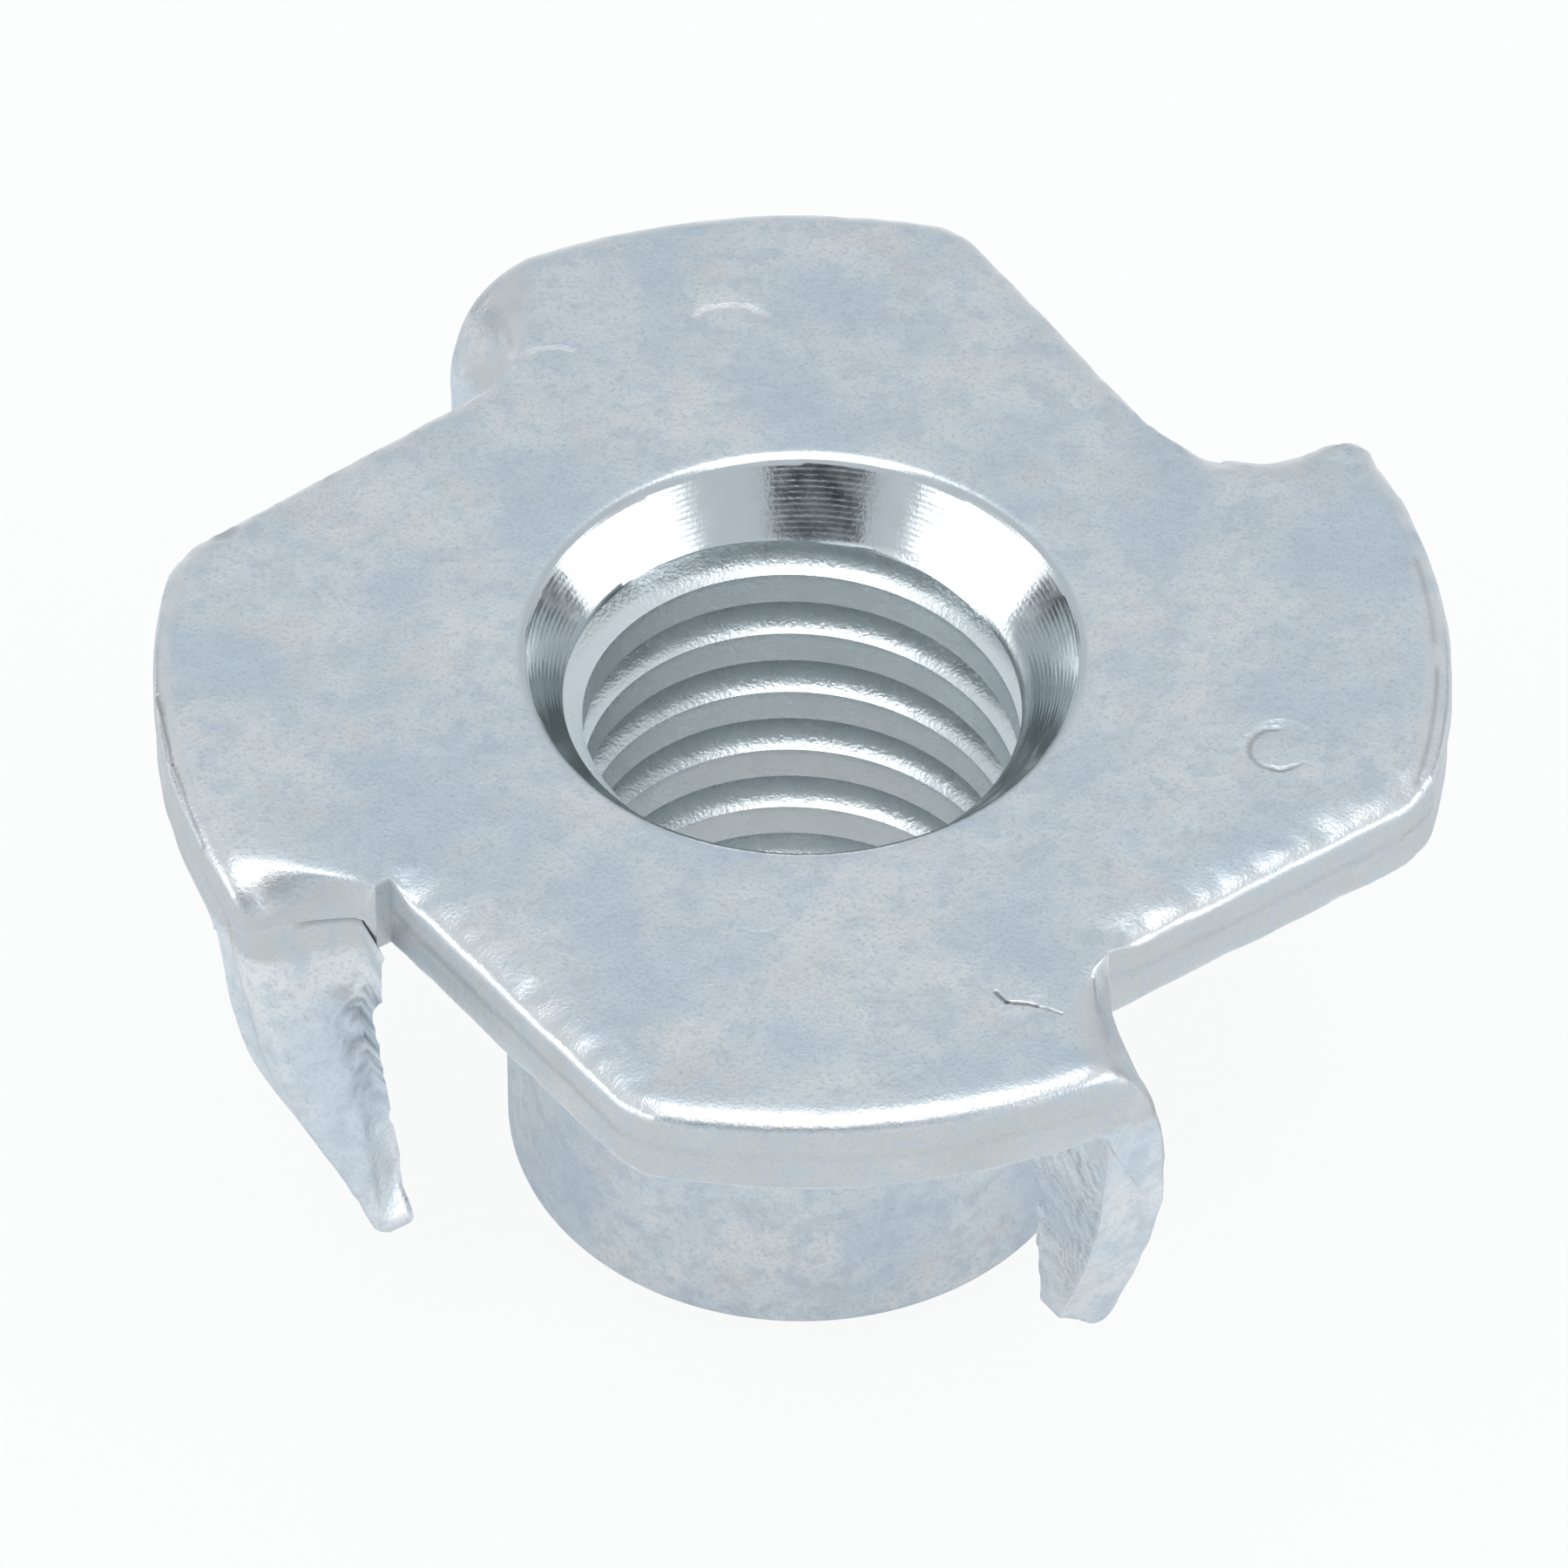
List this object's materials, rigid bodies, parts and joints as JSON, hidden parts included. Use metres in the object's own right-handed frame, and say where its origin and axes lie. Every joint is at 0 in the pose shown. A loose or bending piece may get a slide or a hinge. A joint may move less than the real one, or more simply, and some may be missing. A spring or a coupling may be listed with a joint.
{
  "type": "tee nut",
  "caption": "Pressed steel tee nut with a threaded barrel and folded prongs that bite into wood.",
  "frame": {"origin": "on the thread's axis, in the plane of the flange's underside, which is its seat on the wood", "axes": "+Z along the thread's axis, out of the flanged end; the barrel and prongs point to -Z; +X runs along the outer face of one prong"},
  "size_m": [0.0244, 0.0244, 0.0127],
  "materials": {
    "zinc_plated_steel": "satin"
  },
  "bodies": {
    "root": {"tee_nut": "zinc_plated_steel"}
  },
  "joints": []
}
